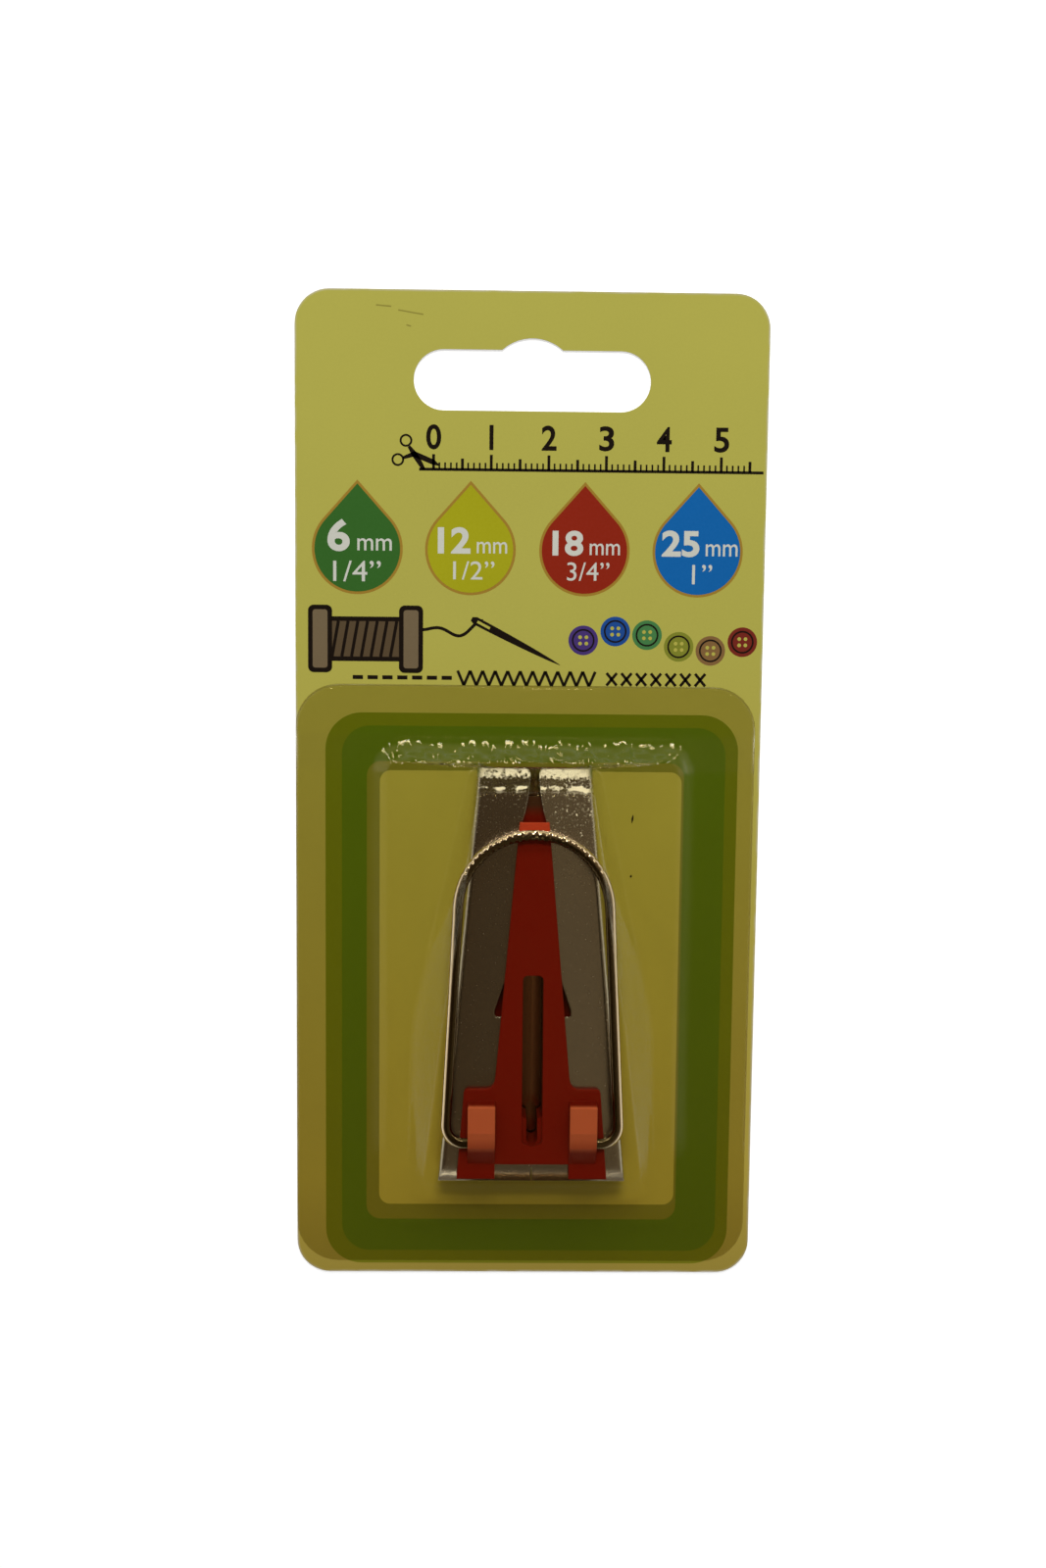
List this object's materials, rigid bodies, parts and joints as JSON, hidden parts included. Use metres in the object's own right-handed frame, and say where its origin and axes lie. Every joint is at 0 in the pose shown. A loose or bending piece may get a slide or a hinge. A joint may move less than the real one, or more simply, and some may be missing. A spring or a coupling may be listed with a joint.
{
  "type": "bias tape maker",
  "caption": "Tapered steel folding tube with a red moulded guide and a wire bail, for making bias tape, on a backing card under a clear formed blister.",
  "frame": {"origin": "middle of the card's back, with the pack lying on its back", "axes": "+X right, +Y towards the hang slot at the card's top, +Z out of the card's printed face"},
  "size_m": [0.082, 0.175, 0.0151],
  "materials": {
    "printed_card": "satin print",
    "plated_steel": "satin nickel",
    "red_plastic": "semi-gloss",
    "bright_wire": "polished",
    "clear_sheet": "clear gloss"
  },
  "bodies": {
    "card": {"backing_card": "printed_card"},
    "tool": {"steel_body": "plated_steel", "plastic_guide": "red_plastic"},
    "bail": {"wire_bail": "bright_wire"},
    "blister": {"clear_blister": "clear_sheet"}
  },
  "joints": [
    {"name": "tool_lift", "type": "slide", "parent": "card", "child": "tool", "axis": [0, 0, 1], "range_m": [0, 0.03]},
    {"name": "blister_open", "type": "hinge", "parent": "tool", "child": "blister", "pos_m": [0, -0.0854, 0.0008], "axis": [1, 0, 0], "range_deg": [0, 120]},
    {"name": "bail_hinge", "type": "hinge", "parent": "tool", "child": "bail", "pos_m": [0.0011, -0.0601, 0.01131], "axis": [1, 0, 0], "range_deg": [0, 150]}
  ],
  "couplings": [
    {"joint": "bail_hinge", "follows": "blister_open", "ratio": 1.25}
  ]
}
